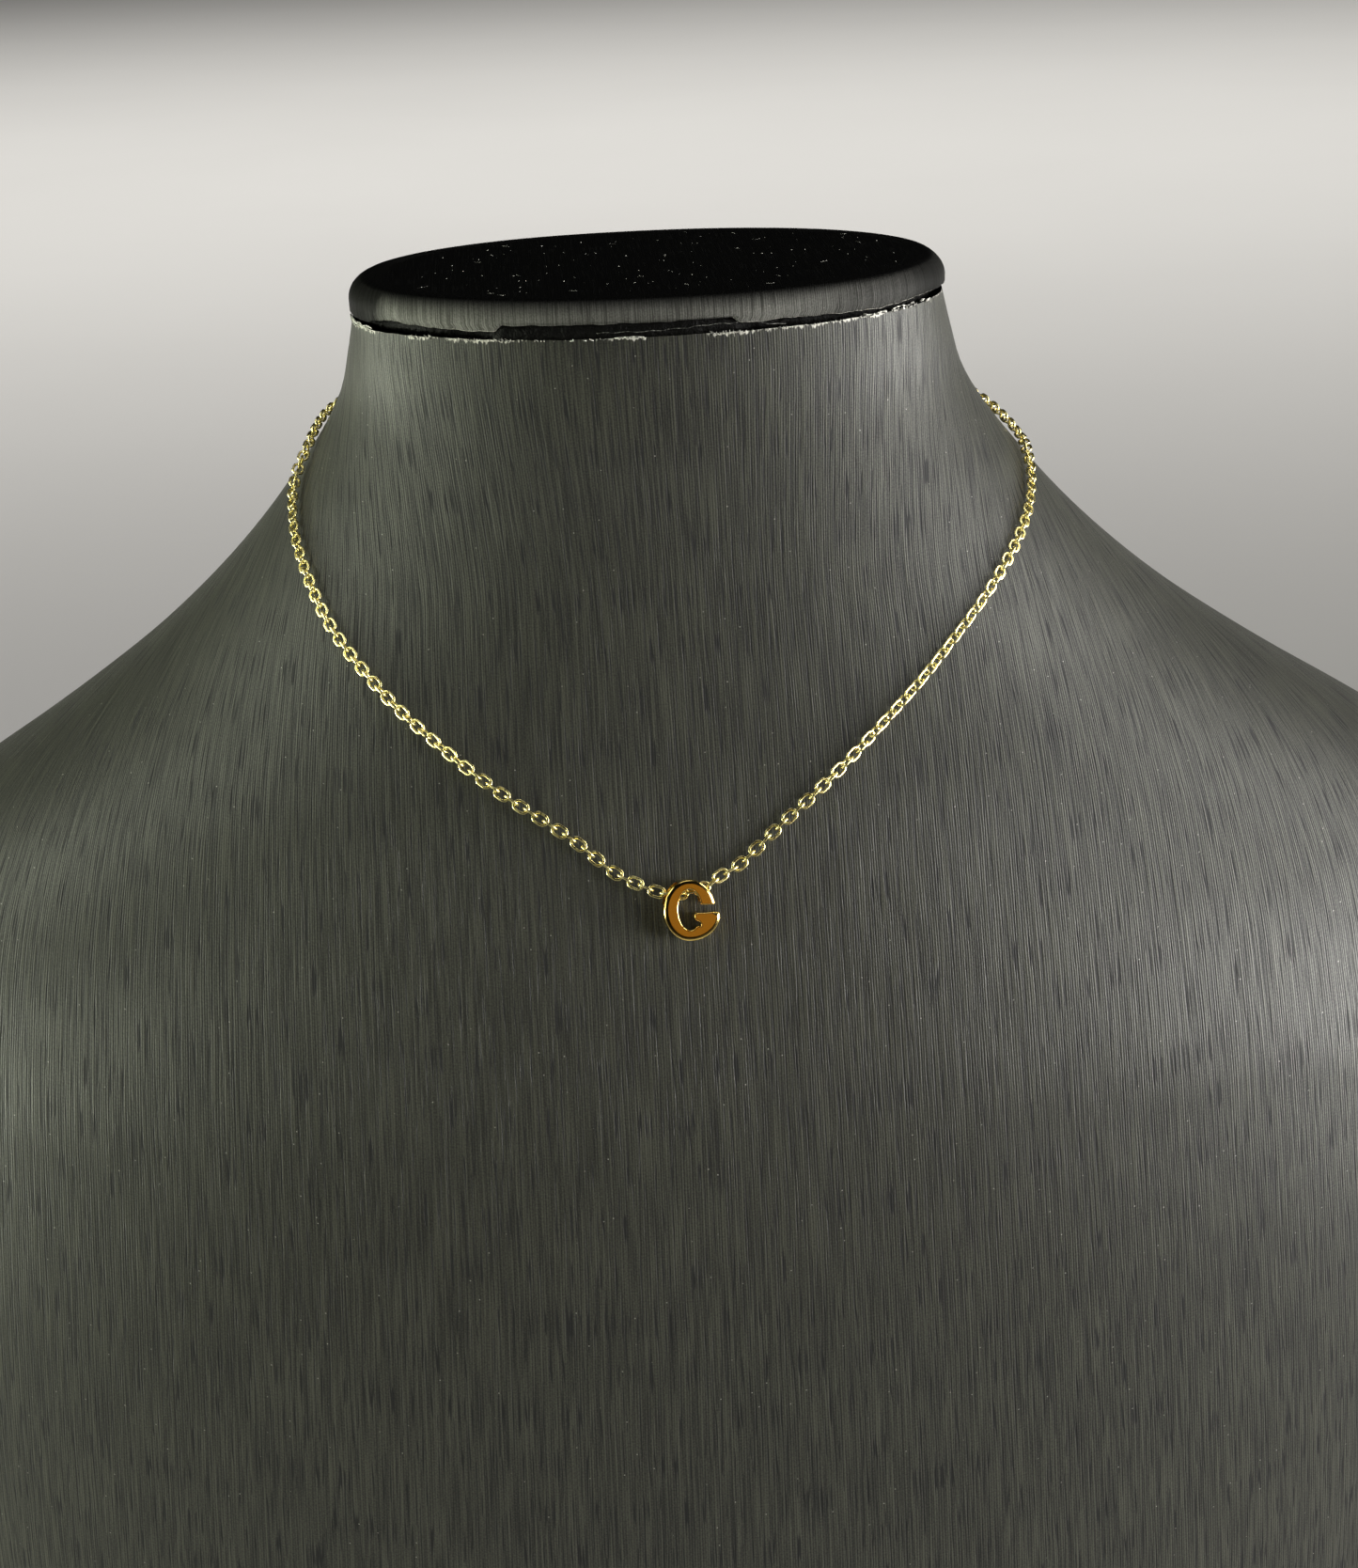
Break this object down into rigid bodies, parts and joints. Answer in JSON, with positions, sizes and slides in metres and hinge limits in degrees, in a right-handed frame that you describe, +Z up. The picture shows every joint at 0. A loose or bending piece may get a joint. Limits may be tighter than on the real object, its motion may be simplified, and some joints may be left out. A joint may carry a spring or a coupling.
{
  "type": "initial pendant necklace on a neck bust",
  "caption": "Gold-toned oval cable chain necklace with a slide-on capital letter pendant, worn by a plain charcoal leatherette display neck bust with a black cap.",
  "frame": {"origin": "middle of the bust's flat base", "axes": "+Z up, the chest faces -Y, +X to the right of someone looking at the chest"},
  "size_m": [0.324, 0.146, 0.3],
  "materials": {
    "leatherette": "satin charcoal leatherette with fine vertical ribs",
    "black_cap": "matte black leatherette with lint",
    "polished_gold": "polished gold-toned plating",
    "chain_gold": "bright pale gold-toned plating"
  },
  "bodies": {
    "root": {"bust_body": "leatherette", "neck_cap": "black_cap", "letter_g": "polished_gold", "chain_left": "chain_gold", "chain_right": "chain_gold", "clasp": "chain_gold"}
  },
  "joints": []
}
